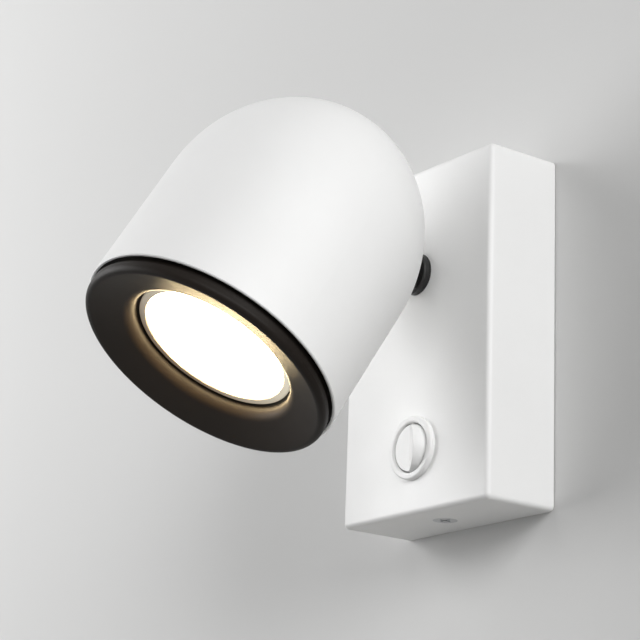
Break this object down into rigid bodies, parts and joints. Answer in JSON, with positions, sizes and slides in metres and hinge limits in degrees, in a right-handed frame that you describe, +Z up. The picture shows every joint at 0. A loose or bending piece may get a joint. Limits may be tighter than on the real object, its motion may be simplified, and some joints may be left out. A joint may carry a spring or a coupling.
{
  "type": "wall spotlight",
  "caption": "Small white wall spotlight: upright box base with a round rocker switch, and a bullet-shaped head with a black dished front ring on a short swivel and tilt stem.",
  "frame": {"origin": "middle of the base's back, in the plane of the wall", "axes": "+Z up along the wall, +Y into the wall so that the light stands out towards -Y, +X to the right of someone who faces the wall"},
  "size_m": [0.0835, 0.1356, 0.1186],
  "materials": {
    "white_coat": "white fine-grained powder coat",
    "black_coat": "black satin coat",
    "black_steel": "blackened, satin",
    "zinc_steel": "bright zinc plated",
    "spring_steel": "polished spring steel",
    "brass": "machined",
    "white_nylon": "moulded, matt",
    "black_nylon": "moulded, matt, for slides",
    "natural_nylon": "moulded, matt, for slides and washers",
    "switch_white": "moulded, glossy",
    "black_rubber": "matt",
    "socket_ceramic": "unglazed",
    "lamp_cream": "moulded, cream",
    "lamp_opal": "opal, lit"
  },
  "bodies": {
    "base": {"base_cover": "white_coat", "cover_screws": "zinc_steel", "wall_bracket": "zinc_steel", "cable_grommet": "black_rubber", "terminal_block": "white_nylon", "terminal_sleeves": "brass", "terminal_screws": "zinc_steel", "block_screw": "zinc_steel", "earth_washer": "zinc_steel", "earth_screw": "zinc_steel", "switch_housing": "switch_white", "switch_terminals": "brass", "stem_bush": "black_nylon", "stem_friction_washer": "natural_nylon"},
    "swivel": {"swivel_knuckle": "black_steel", "stem_stop_washer": "zinc_steel", "stem_cone_washer": "spring_steel", "stem_nut": "zinc_steel"},
    "head": {"hinge_washers": "natural_nylon", "hinge_bolt": "zinc_steel", "hinge_nut": "zinc_steel", "head_bracket": "zinc_steel", "bracket_screws": "zinc_steel", "head_shell": "white_coat", "front_ring": "black_coat", "ring_clips": "spring_steel", "lamp_holder": "socket_ceramic", "holder_screws": "zinc_steel"},
    "rocker": {"switch_rocker": "switch_white"},
    "lamp": {"lamp_bezel": "lamp_cream", "lamp_diffuser": "lamp_opal", "lamp_body": "lamp_cream", "lamp_pins": "brass"}
  },
  "joints": [
    {"name": "swivel_turn", "type": "hinge", "parent": "base", "child": "swivel", "pos_m": [0, -0.026, 0.0205], "axis": [0, 1, 0], "range_deg": [-164, 156]},
    {"name": "head_tilt", "type": "hinge", "parent": "swivel", "child": "head", "pos_m": [0, -0.04941, 0.0205], "axis": [0.9976, 0, -0.0698], "range_deg": [-39.2, 30.8]},
    {"name": "switch_rock", "type": "hinge", "parent": "base", "child": "rocker", "pos_m": [0, -0.02532, -0.0347], "axis": [0, 0, 1], "range_deg": [0, 30]},
    {"name": "lamp_twist", "type": "hinge", "parent": "head", "child": "lamp", "pos_m": [-0.00274, -0.09986, -0.01872], "axis": [-0.0599, -0.512, -0.8569], "range_deg": [0, 22]}
  ]
}
